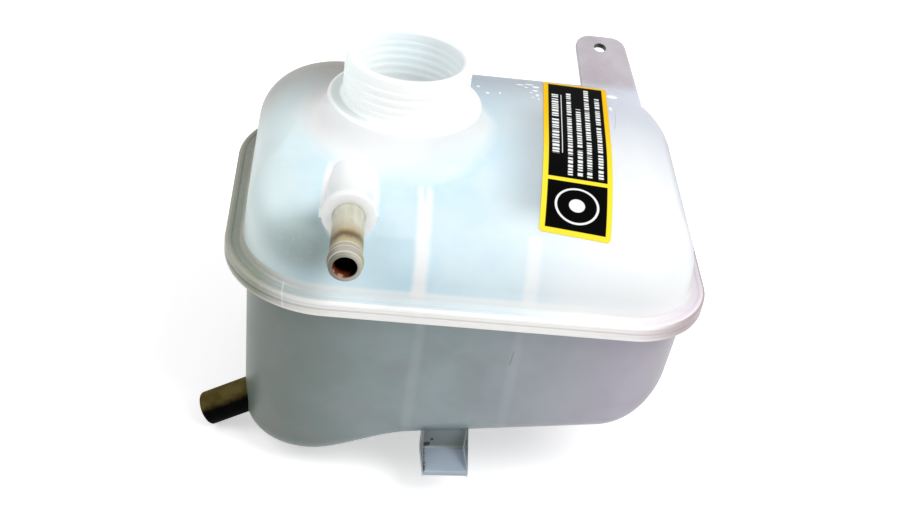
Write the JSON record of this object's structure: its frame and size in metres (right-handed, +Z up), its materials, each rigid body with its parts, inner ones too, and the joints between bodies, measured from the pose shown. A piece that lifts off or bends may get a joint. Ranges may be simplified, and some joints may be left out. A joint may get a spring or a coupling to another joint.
{
  "type": "coolant expansion tank",
  "caption": "Translucent plastic engine coolant expansion tank: two shells welded at a flange, wide filler neck, front vent spigot, low outlet spigot, rear mounting ear and front foot.",
  "frame": {"origin": "on the filler neck's axis, in the plane of its rim", "axes": "+Z up along the filler neck, +X to the right as the vent spigot faces the viewer, +Y to the back, towards the mounting ear"},
  "size_m": [0.2259, 0.2081, 0.1812],
  "materials": {
    "upper_plastic": "milky translucent polypropylene, satin with soft highlights",
    "lower_plastic": "milky translucent polypropylene, satin, a little greyer",
    "vent_metal": "thin brass tube with a dull beige coolant deposit and a brown ring",
    "outlet_metal": "thin brass tube with a dark olive brown deposit",
    "sticker_film": "printed film: black fields with a yellow border and plain white bars"
  },
  "bodies": {
    "root": {"upper_shell": "upper_plastic", "lower_shell": "lower_plastic", "vent_spigot": "vent_metal", "outlet_spigot": "outlet_metal", "sticker": "sticker_film"}
  },
  "joints": []
}
